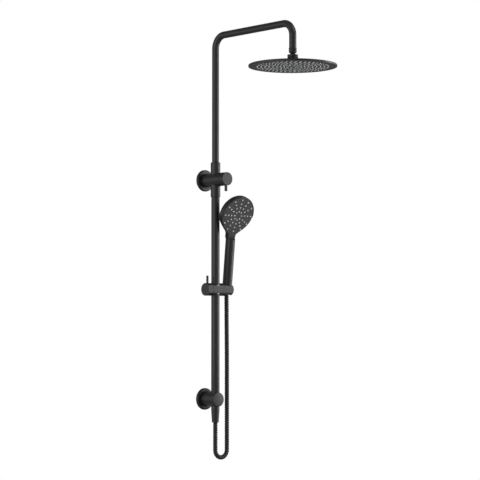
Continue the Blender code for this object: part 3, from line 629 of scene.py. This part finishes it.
def make_diverter():
    def body(p):
        d = rod_y(p, (0, 0, 0), -0.086, -0.0006, DIVERTER_R, 0.0006)
        d = blend_min(d, rod_z(p, COLUMN, -0.052, 0.052, 0.0145, 0.0010), 0.0016)
        for bore in (rod_z(p, COLUMN, 0.0142, 0.060, ARM_R + GAP),
                     rod_z(p, COLUMN, -0.060, -0.0158, RAIL_R + GAP),
                     rod_z(p, COLUMN, -0.030, 0.030, 0.0070),
                     rod_y(p, (0, 0, 0), -0.0185, 0.010, 0.0125),
                     rod_y(p, (0, 0, 0), -0.045, -0.010, 0.0060),
                     rod_y(p, (0, 0, 0), -0.070, -0.040, 0.0105),
                     rod_y(p, (0, 0, 0), -0.100, -0.066, 0.0155),
                     rod_y(p, (0, 0, 0.040), -0.044, -0.020, 0.0025),
                     rod_y(p, (0, 0, -0.040), -0.044, -0.020, 0.0023)):
            d = carve(d, bore, 0.0006)
        return d
    case = skin("diverter_case", body, (-DIVERTER_R, -0.086, -0.052),
                (DIVERTER_R, 0, 0.052), 0.00050, 0.22)
    finish_piece(case, "column", ["diverter_body"], "matte_black")

    def knob(p):
        d = rod_y(p, (0, 0, 0), -0.107, -0.0863, DIVERTER_R, 0.0009)
        d = carve(d, rod_y(p, (0, 0, 0), -0.0900, -0.080, 0.0165), 0.0004)
        d = carve(d, rod_y(p, (0, 0, 0), -0.0982, -0.080, 0.0048), 0.0002)
        d = carve(d, rod_z(p, (0, -0.0998, 0), -0.026, -0.0095, 0.0028, 0.0002), 0.0002)
        return carve(d, rod_z(p, (0, -0.0935, 0), 0.002, 0.026, 0.0023, 0.0002), 0.0004)
    cap = skin("diverter_cap", knob, (-DIVERTER_R, -0.107, -DIVERTER_R),
               (DIVERTER_R, -0.0863, DIVERTER_R), 0.00042, 0.25)
    finish_piece(cap, "diverter_valve", ["diverter_knob"], "matte_black")
    pin = turned("diverter_pin", [
        (0, -0.0365, 0), (0.0043, -0.0365, 0.0008), (0.0043, -0.0214, 0.0003),
        (0.0034, -0.0212, 0.0002), (0.0034, -0.0203, 0.0002), (0.0025, -0.0203, 0),
        (0.0025, -0.0100, 0.0003), (0, -0.0100, 0)], location=(0, -0.0998, 0), sides=40)
    finish_piece(pin, "diverter_valve", ["diverter_lever"], "matte_black")


def make_rail():
    top, foot = -0.0175, LOWER_Z + 0.0135
    rail = turned("rail_tube", [
        (0.0113, foot, 0.0002), (RAIL_R, foot, 0.0003), (RAIL_R, -0.52, 0), (RAIL_R, -0.40, 0),
        (RAIL_R, -0.26, 0), (RAIL_R, -0.13, 0), (RAIL_R, top, 0.0003), (0.0113, top, 0.0002)],
        location=COLUMN, sides=96, closed=True)
    finish_piece(rail, "column", ["riser_rail"], "matte_black")


def make_outlet():
    centre, column = (0, 0, LOWER_Z), (0, COLUMN_Y, 0)

    def body(p):
        d = rod_y(p, centre, -0.065, -0.0006, OUTLET_R, 0.0005)
        d = blend_min(d, rod_z(p, column, -0.6905, LOWER_Z - 0.004, RAIL_R, 0.0004), 0.0016)
        for bore in (rod_y(p, centre, -0.0205, 0.010, 0.0158),
                     rod_y(p, centre, -0.080, -0.0540, 0.0113),
                     rod_z(p, column, LOWER_Z + 0.0120, -0.620, RAIL_R + GAP),
                     rod_z(p, column, LOWER_Z - 0.0300, LOWER_Z + 0.014, 0.0065),
                     rod_z(p, column, -0.700, -0.6820, 0.0101),
                     rod_z(p, (0, -0.0140, 0), LOWER_Z - 0.026, LOWER_Z - 0.010, 0.0023)):
            d = carve(d, bore, 0.0006)
        return d
    case = skin("outlet_case", body, (-OUTLET_R, -0.065, -0.6905),
                (OUTLET_R, 0, -0.636), 0.00050, 0.25)
    finish_piece(case, "column", ["outlet_body"], "matte_black")
    cap = turned("outlet_cap", [
        (0, 0.0580, 0), (0.0110, 0.0580, 0.0003), (0.0110, 0.0653, 0), (OUTLET_R, 0.0653, 0.0002),
        (OUTLET_R, 0.0670, 0.0007), (0, 0.0670, 0)], location=centre, rotation=FRONT)
    finish_piece(cap, "column", ["outlet_end_cap"], "matte_black")
    nut = turned("hose_outlet_cone", [
        (0.0101, -0.6908, 0), (0.0124, -0.6908, 0.0005), (0.0122, -0.6935, 0.0003),
        (0.0118, -0.6938, 0.0002), (0.0118, -0.6952, 0.0002), (0.0121, -0.6955, 0.0003),
        (0.0107, -0.7155, 0), (0.0101, -0.7228, 0.0003), (0.0106, -0.7232, 0.0003),
        (0.0105, -0.7253, 0.0008), (0.0070, -0.7253, 0.0003), (0.0066, -0.7240, 0.0003),
        (0.0045, -0.7240, 0.0002), (0.0045, -0.7052, 0), (0.0101, -0.7052, 0)],
        location=column, closed=True, sides=72)
    finish_piece(nut, "column", ["hose_outlet_nut"], "matte_black")


# ---------------------------------------------------------------- overhead arm and rain head
def make_arm():
    steps, top, reach, bend = 24, ARM_TOP, ARM_REACH, ARM_BEND
    rise = top - bend
    path = [(0, 0.030), (0, 0.031), (0, 0.15), (0, 0.30)]
    path += [(bend * (1 - cos(pi / 2 * i / steps)), rise + bend * sin(pi / 2 * i / steps))
             for i in range(steps + 1)]
    path += [(0.12, top), (0.20, top)]
    path += [(reach - bend + bend * sin(pi / 2 * i / steps), rise + bend * cos(pi / 2 * i / steps))
             for i in range(steps + 1)]
    path += [(reach, 0.37), (reach, 0.3594), (reach, 0.3585)]
    points = [(0, COLUMN_Y - out, height) for out, height in path]
    wall = 0.0012
    last = len(points) - 1

    def outer(i, _):
        return ARM_R - (0.0004 if i in (0, last) else 0)
    skin_outer = tube("overhead_arm_tube", points, Vector((1, 0, 0)), outer, 72, ends=False)
    skin_inner = tube("arm_bore", points, Vector((1, 0, 0)), lambda i, _: ARM_R - wall, 72,
                      ends=False)
    bm = bmesh.new()
    bm.from_mesh(skin_outer.data)
    bm.from_mesh(skin_inner.data)
    bmesh.ops.bridge_loops(bm, edges=[e for e in bm.edges if e.is_boundary
                                      and e.verts[0].co.z > 0.2])
    bmesh.ops.bridge_loops(bm, edges=[e for e in bm.edges if e.is_boundary])
    skin_outer.data = smooth_mesh(bm, "overhead_arm_tube", 50)
    bpy.data.objects.remove(skin_inner)
    finish_piece(skin_outer, "arm", ["overhead_arm"], "matte_black")


def make_drop_joint():
    top, foot = 0.3582, 0.3443
    corners = [(0.0093, top, 0), (0.0114, top, 0.0006), (0.01175, 0.3575, 0.0004),
               (0.01175, 0.3548, 0.0005), (0.0109, 0.3542, 0.0003), (0.0109, 0.3524, 0.0003),
               (0.01175, 0.3518, 0.0005), (0.01175, 0.3488, 0.0005), (0.0112, 0.3482, 0.0003),
               (0.0112, foot + 0.0004, 0.0006), (0.0085, foot - 0.0004, 0.0004),
               (0.0072, 0.3405, 0.0006), (0.0066, 0.3375, 0.0004)]
    corners += [(BALL_R * sin(a), BALL_Z + BALL_R * cos(a), 0)
                for a in (0.85 + 1.77 * i / 24 for i in range(25))]
    corners += [(0.0045, BALL_Z - BALL_R * 0.87, 0), (0.0045, 0.3465, 0), (0.0093, 0.3465, 0)]
    ball = turned("swivel_joint", corners, location=DROP, sides=72, closed=True)
    finish_piece(ball, "arm", ["swivel_ball"], "matte_black")


def make_rain_head():
    pocket, bottom, top = 0.0119, HEAD_BOTTOM, HEAD_TOP
    nut = [(0.0146, 0.3300, 0.0004), (0.0155, 0.3306, 0.0004), (0.0155, 0.3326, 0.0003),
           (0.0150, 0.3329, 0.0002), (0.0150, 0.3336, 0.0002), (0.0155, 0.3339, 0.0003),
           (0.0155, 0.3385, 0.0009), (0.0112, 0.3385, 0.0003)]
    nut += [(pocket * sin(a), BALL_Z + pocket * cos(a), 0)
            for a in (1.02 + 0.36 * i / 8 for i in range(9))]
    finish_piece(turned("ball_nut", nut, location=DROP, sides=72, closed=True), "rain_head",
                 ["ball_retaining_nut"], "matte_black")
    hub = [(0.0060, 0.3060, 0), (0.0175, 0.3060, 0), (0.0175, top + 0.0008, 0),
           (0.0212, top + 0.0008, 0.0003), (0.0209, 0.3116, 0.0006), (0.0182, 0.3142, 0.0035),
           (0.0158, 0.3205, 0.0040), (0.0151, 0.3297, 0.0003)]
    hub += [(pocket * sin(a), BALL_Z + pocket * cos(a), 0)
            for a in (1.72 + 0.33 * i / 8 for i in range(9))]
    hub += [(0.0106, 0.3143, 0), (0.0060, 0.3143, 0)]
    finish_piece(turned("head_boss", hub, location=DROP, sides=72, closed=True), "rain_head",
                 ["head_hub"], "matte_black")
    r, inner = HEAD_R, 0.1262
    shell = [(0.0178, top + 0.0003, 0), (0.0178, top - 0.0011, 0), (inner - 0.001, top - 0.0018, 0),
             (inner, top - 0.0028, 0), (inner, bottom, 0.0002), (r - 0.0002, bottom, 0.0005),
             (r, bottom + 0.0020, 0), (r, top - 0.0006, 0.0022), (r - 0.012, top, 0.004),
             (0.060, top + 0.0002, 0)]
    finish_piece(turned("head_dish", shell, location=DROP, sides=192, closed=True), "rain_head",
                 ["head_shell"], "matte_black")

    rings = [(0.0140, 6), (0.0250, 12), (0.0360, 16), (0.0470, 20), (0.0580, 26),
             (0.0690, 32), (0.0800, 36), (0.0910, 42), (0.1020, 48)]
    centres = ring_centres(rings)
    edge = inner - GAP
    circle = [(cos(2 * pi * i / 160), sin(2 * pi * i / 160)) for i in range(160)]
    flip = Euler((pi, 0, 0))    # the plate's front faces down
    place = (DROP[0], DROP[1], bottom)
    plate = perforated("head_spray_plate", [(edge * c, edge * s) for c, s in circle],
                       [((edge - 0.0004) * c, (edge - 0.0004) * s) for c, s in circle],
                       centres, 0.0024, -0.0001, -0.0012)
    plate.location, plate.rotation_euler = place, flip
    finish_piece(plate, "rain_head", ["head_face_plate"], "matte_black")
    mat = nozzles("head_soft_nozzles", centres, [
        (0.0023, -0.0017, 0), (0.0023, -0.0002, 0.0002), (0.0020, 0.0001, 0.0002),
        (0.0015, 0.0012, 0.0004), (0.0005, 0.0012, 0.0002), (0.0004, 0.0002, 0)],
        -0.0015, 0.112, -0.0021, sides=12)
    mat.location, mat.rotation_euler = place, flip
    finish_piece(mat, "rain_head", ["head_nozzle_mat"], "nozzle_silicone")


# ---------------------------------------------------------------- slider and holder
def flat_bar(p, low, high, edge):
    """The slider's bar: round behind, flat in front with soft edges above and below."""
    y, z = p[:, 1] - COLUMN_Y, p[:, 2] - SLIDER_Z
    section = -blend_min(BAR_R - np.hypot(y, z), y + BAR_FLAT, 0.0020)
    return rod_field(p[:, 0], section + BAR_R, low, high, BAR_R, edge)


def make_slider():
    def body(p):
        d = flat_bar(p, -0.0207, 0.0237, 0.0002)
        away = np.abs(p[:, 2] - SLIDER_Z)
        flare = 0.0147 + 0.0038 * np.clip((away - 0.0120) / 0.0100, 0, 1.2)
        d = carve(d, np.hypot(p[:, 0], p[:, 1] - COLUMN_Y) - flare, 0.0005)
        d = carve(d, rod_x(p, BAR, -0.030, -0.010, 0.0033), 0.0004)
        d = carve(d, rod_x(p, BAR, 0.0165, 0.030, 0.0053), 0.0004)
        return carve(d, rod_x(p, BAR, 0.0230, 0.030, 0.0128, 0.0002), 0.0004)
    case = skin("slider_case", body, (-0.021, COLUMN_Y - BAR_R, SLIDER_Z - BAR_R),
                (0.024, COLUMN_Y + BAR_R, SLIDER_Z + BAR_R), 0.00042, 0.25)
    finish_piece(case, "slider", ["slider_body"], "matte_black")

    def end(p):
        d = flat_bar(p, -0.0400, -0.0213, 0.0003)
        d = carve(d, rod_x(p, BAR, -0.0350, -0.0100, 0.0033), 0.0004)
        return carve(d, rod_z(p, (LEVER_X, COLUMN_Y, SLIDER_Z), 0.0085, 0.0300, 0.0027), 0.0003)
    knob = skin("clamp_end", end, (-0.0400, COLUMN_Y - BAR_FLAT, SLIDER_Z - BAR_R),
                (-0.0213, COLUMN_Y + BAR_R, SLIDER_Z + BAR_R), 0.00042, 0.25)
    finish_piece(knob, "clamp", ["clamp_knob"], "matte_black")
    pin = turned("clamp_pin", [
        (0, 0.0090, 0), (0.0024, 0.0090, 0.0003), (0.0024, 0.0193, 0), (0.0030, 0.0193, 0.0002),
        (0.0035, 0.0200, 0.0003), (0.0035, 0.0410, 0.0009), (0, 0.0410, 0)],
        location=(LEVER_X, COLUMN_Y, SLIDER_Z), sides=40)
    finish_piece(pin, "clamp", ["clamp_lever"], "matte_black")


def make_holder():
    seat = [(-0.030, 0.0160), (-0.026, 0.0150), (-0.0150, 0.0117), (0.0125, 0.0141),
            (0.0132, 0.0150), (0.030, 0.0150)]

    def body(p):
        d = flat_bar(p, 0.0240, 0.0615, 0.0002)
        # the right end is rounded by much more than the left one
        right = rod_x(p, BAR, 0.0100, 0.0615, BAR_R, 0.0080)
        d = np.maximum(d, right)
        q = local(p, HANDSET)
        cone = np.hypot(q[:, 0], q[:, 1]) - np.interp(q[:, 2], [h for h, _ in seat],
                                                      [r for _, r in seat])
        d = carve(d, cone, 0.0012)
        slot = np.maximum(np.abs(q[:, 1]) - 0.0072, -q[:, 0])
        d = carve(d, slot, 0.0012)
        return carve(d, rod_x(p, BAR, 0.0100, 0.0300, 0.0053), 0.0003)
    case = skin("holder_case", body, (0.024, COLUMN_Y - BAR_R, SLIDER_Z - BAR_R),
                (0.0615, COLUMN_Y + BAR_R, SLIDER_Z + BAR_R), 0.00042, 0.28)
    finish_piece(case, "holder", ["handset_holder"], "matte_black")
    nut = turned("hose_cone", [
        (0.0073, -0.0150, 0.0003), (0.0105, -0.0150, 0.0008), (0.0111, -0.0142, 0.0004),
        (0.0136, 0.0120, 0.0005), (0.0130, 0.0134, 0.0004), (0.0101, 0.0134, 0),
        (0.0101, 0.0035, 0), (0.0045, 0.0035, 0), (0.0045, -0.0130, 0), (0.0073, -0.0130, 0)],
        sides=72, closed=True)
    nut.matrix_world = HANDSET
    finish_piece(nut, "hose_nut", ["hose_cone_nut"], "matte_black")


# ---------------------------------------------------------------- hand shower
def teardrop(inset, tail_inset, arc_steps=84, neck_steps=30):
    """Outline in the face plane: a round head that narrows to a short tail."""
    start = radians(-173)
    rim = FACE_R - inset
    leave = Vector((rim * cos(start), rim * sin(start), 0))
    along = Vector((-sin(start), cos(start), 0))
    tail_half, tail_end, neck_end = 0.0155, 0.0735, 0.0645
    neck = Vector((-(tail_half - tail_inset), -neck_end, 0))
    left = interpolate_bezier(leave, leave + 0.034 * along, neck + Vector((0, 0.0112, 0)), neck,
                              neck_steps)
    left.append(Vector((neck.x, -(tail_end - tail_inset), 0)))
    first, last = start + 2 * pi, radians(-7)
    arc = [(rim * cos(first + (last - first) * i / arc_steps),
            rim * sin(first + (last - first) * i / arc_steps)) for i in range(1, arc_steps)]
    return [(p.x, p.y) for p in reversed(left)] + arc + [(-p.x, p.y) for p in left]


def outline_map(outline, step=0.0006, margin=0.05):
    pts = np.array(outline)
    xs = np.arange(pts[:, 0].min() - margin, pts[:, 0].max() + margin, step)
    ys = np.arange(pts[:, 1].min() - margin, pts[:, 1].max() + margin, step)
    table = distance_to_outline(np.stack(np.meshgrid(xs, ys, indexing="ij"), -1).reshape(-1, 2),
                                outline).reshape(len(xs), len(ys))

    def look(x, y):
        u = np.clip((x - xs[0]) / step, 0, len(xs) - 1.001)
        v = np.clip((y - ys[0]) / step, 0, len(ys) - 1.001)
        i, j = u.astype(int), v.astype(int)
        a, b = u - i, v - j
        return ((1 - a) * (1 - b) * table[i, j] + a * (1 - b) * table[i + 1, j]
                + (1 - a) * b * table[i, j + 1] + a * b * table[i + 1, j + 1])
    return look


def make_hand_shower():
    rim = outline_map(teardrop(0, 0))
    pocket = outline_map(teardrop(0.0022, 0.0022))
    depth, back_round, lip = HANDSET_DEPTH, 0.010, 0.0009
    taper = 0.2537              # how fast the back comes forward towards the tail

    def body(p):
        f, a = local(p, FACE), local(p, HANDSET)
        away = rim(f[:, 0], f[:, 1])
        q = np.stack([away + back_round, -f[:, 2] - (depth - back_round)])
        rear = np.minimum(q.max(0), 0) + np.linalg.norm(np.maximum(q, 0), axis=0) - back_round
        q = np.stack([away + lip, f[:, 2] + lip])
        front = np.minimum(q.max(0), 0) + np.linalg.norm(np.maximum(q, 0), axis=0) - lip
        behind = (-depth - f[:, 2] - taper * (f[:, 1] + 0.040)) * 0.97
        head = np.maximum(-blend_min(-rear, -behind, 0.006), front)
        # the tail keeps its outline in front and is as round as the handle behind
        back = np.clip((-f[:, 2] - 0.001) / 0.008, 0, 1)
        waist = 0.0172 - 0.0024 * back * back * (3 - 2 * back)
        waist += 0.9 * np.maximum(a[:, 2] - 0.168, 0)
        waist = (np.hypot(a[:, 0], a[:, 1]) - waist) / 1.35
        head = -blend_min(-head, -waist, 0.004)
        grip = rod_field(a[:, 2], np.hypot(a[:, 0], a[:, 1]), 0.0140, 0.1820, HANDLE_R, 0.0009)
        shoulder = (a[:, 2] - 0.1690 + 0.55 * (a[:, 1] - HANDLE_R)) / 1.141
        grip = -blend_min(-grip, -shoulder, 0.010)
        # the two run into each other behind, and meet with a crisp step near the face
        back = np.clip((-f[:, 2] - 0.003) / 0.010, 0, 1)
        d = blend_min(head, grip, 0.0008 + 0.0085 * back * back * (3 - 2 * back))
        # nothing stands in front of the face, inside its outline
        d = np.maximum(d, np.minimum(f[:, 2], -away))
        seat = np.maximum(pocket(f[:, 0], f[:, 1]), -f[:, 2] - 0.0015)
        d = carve(d, seat, 0.0003)
        bore = rod_field(a[:, 2], np.hypot(a[:, 0], a[:, 1]), 0.005, 0.034, 0.0103, 0.0002)
        return carve(d, bore, 0.0006)
    corners = [Vector(c) for c in product((-0.061, 0.061), (-0.074, 0.061), (-0.025, 0))]
    box = [FACE @ c for c in corners]
    box += [HANDSET @ Vector(c)
            for c in product((-0.015, 0.015), (-0.015, 0.015), (0.01, 0.18))]
    low = [min(c[d] for c in box) for d in range(3)]
    high = [max(c[d] for c in box) for d in range(3)]
    shell = skin("handset_shell", body, low, high, 0.00075, 0.35)
    finish_piece(shell, "handset", ["handset_handle", "handset_head_shell"], "black_plastic")

    centres = ring_centres([(0.0132, 8), (0.0257, 12), (0.0376, 12), (0.0500, 12)])
    plate = perforated("handset_spray_plate", teardrop(0.0026, 0.0026),
                       teardrop(0.0030, 0.0030), centres, 0.0025, -0.0002, -0.0014)
    plate.matrix_world = FACE
    finish_piece(plate, "handset", ["handset_face_plate"], "black_plastic", "face_plastic")
    mat = nozzles("handset_soft_nozzles", centres, [
        (0.0024, -0.0019, 0), (0.0024, 0.0001, 0.0002), (0.0022, 0.0003, 0.0002),
        (0.0018, 0.0010, 0.0004), (0.0005, 0.0010, 0.0002), (0.0004, 0.0002, 0)],
        -0.0017, 0.0545, -0.0030, sides=14)
    mat.matrix_world = FACE
    finish_piece(mat, "handset", ["handset_nozzle_mat"], "nozzle_silicone")


# ---------------------------------------------------------------- parts carried over
def dress_frame():
    """Give every CAD node that still shows a finish of its own."""
    slots = {row["node"]: row["material_slot"] for row in frame["record"]["subparts"]}
    for node, obj in frame["nodes"].items():
        if not obj.hide_render:
            obj.data.materials.clear()
            # the thread insert of the handle shows as a thin line and is dark
            slot = "matte_black" if node == "handset_thread_insert" else slots[node]
            obj.data.materials.append(MATERIALS[slot])


# ---------------------------------------------------------------- studio
def white_to_camera(node_tree, other):
    """Show a surface or the world as plain white, while the object is lit by another shader."""
    nodes, links = node_tree.nodes, node_tree.links
    white = nodes.new("ShaderNodeEmission" if other.bl_idname != "ShaderNodeBackground"
                      else "ShaderNodeBackground")
    white.inputs["Color"].default_value = (1, 1, 1, 1)
    white.inputs["Strength"].default_value = 1.0
    rays = nodes.new("ShaderNodeLightPath")
    mix = nodes.new("ShaderNodeMixShader")
    links.new(rays.outputs["Is Camera Ray"], mix.inputs["Fac"])
    links.new(other.outputs[0], mix.inputs[1])
    links.new(white.outputs[0], mix.inputs[2])
    output = next(n for n in nodes if n.bl_idname.startswith("ShaderNodeOutput"))
    links.new(mix.outputs["Shader"], output.inputs["Surface"])


def softbox(name, azimuth, elevation, power, width, height):
    """A soft light 3 m from the column. Azimuth 0 is +X, and 270 is straight in front."""
    a, e = radians(azimuth), radians(elevation)
    towards = Vector((cos(e) * cos(a), cos(e) * sin(a), sin(e)))
    data = bpy.data.lights.new(name, 'AREA')
    data.shape, data.size, data.size_y, data.energy = 'RECTANGLE', width, height, power
    light = bpy.data.objects.new(name, data)
    light.location = Vector((0, -0.15, -0.2)) + 3.0 * towards
    light.rotation_euler = (-towards).to_track_quat('-Z', 'Y').to_euler()
    light.visible_camera = False
    bpy.context.scene.collection.objects.link(light)


def make_studio():
    world = bpy.data.worlds.new("studio")
    bpy.context.scene.world = world
    world.use_nodes = True
    fill = world.node_tree.nodes["Background"]
    fill.inputs["Color"].default_value = (1, 1, 1, 1)
    fill.inputs["Strength"].default_value = 0.16
    white_to_camera(world.node_tree, fill)

    # tall boxes all round, brightest to the right of the front and dim behind the camera
    for name, azimuth, power in (("right", 0, 9), ("front_right", 330, 57),
                                 ("right_of_front", 300, 8), ("front", 270, 5),
                                 ("front_left", 210, 8), ("left", 180, 21),
                                 ("back_left", 150, 14), ("back", 120, 4)):
        softbox("softbox_" + name, azimuth, 0, power, 1.5, 2.6)
    for name, azimuth, power in (("above_front", 300, 20), ("above_left", 180, 5)):
        softbox("softbox_" + name, azimuth, 50, power, 1.6, 1.6)

    mat, nodes, links = new_material("pale_floor")
    shader = nodes["Principled BSDF"]
    shader.inputs["Base Color"].default_value = (0.2, 0.2, 0.2, 1)
    shader.inputs["Roughness"].default_value = 0.9
    shader.inputs["Emission Color"].default_value = (1, 1, 1, 1)
    shader.inputs["Emission Strength"].default_value = 0.135
    white_to_camera(mat.node_tree, shader)
    bm = bmesh.new()
    bmesh.ops.create_grid(bm, x_segments=8, y_segments=8, size=14)
    floor_mesh = bpy.data.meshes.new("studio_floor")
    bm.to_mesh(floor_mesh)
    bm.free()
    floor_mesh.materials.append(mat)
    floor = link_mesh("studio_floor", floor_mesh)
    floor.location = (0, 0, -1.05)

    view = bpy.context.scene.view_settings
    view.view_transform = 'Standard'
    view.look = 'None'
    view.exposure = 0.0
    view.gamma = 1.0


# ---------------------------------------------------------------- build
MATERIALS = make_materials()
make_camera()
make_hose()
make_flange("upper_flange", "upper_wall_flange", 0.0203, 0)
make_flange("lower_flange", "lower_wall_flange", 0.0213, LOWER_Z)
make_diverter()
make_rail()
make_outlet()
make_arm()
make_drop_joint()
make_rain_head()
make_slider()
make_holder()
make_hand_shower()
dress_frame()
make_studio()
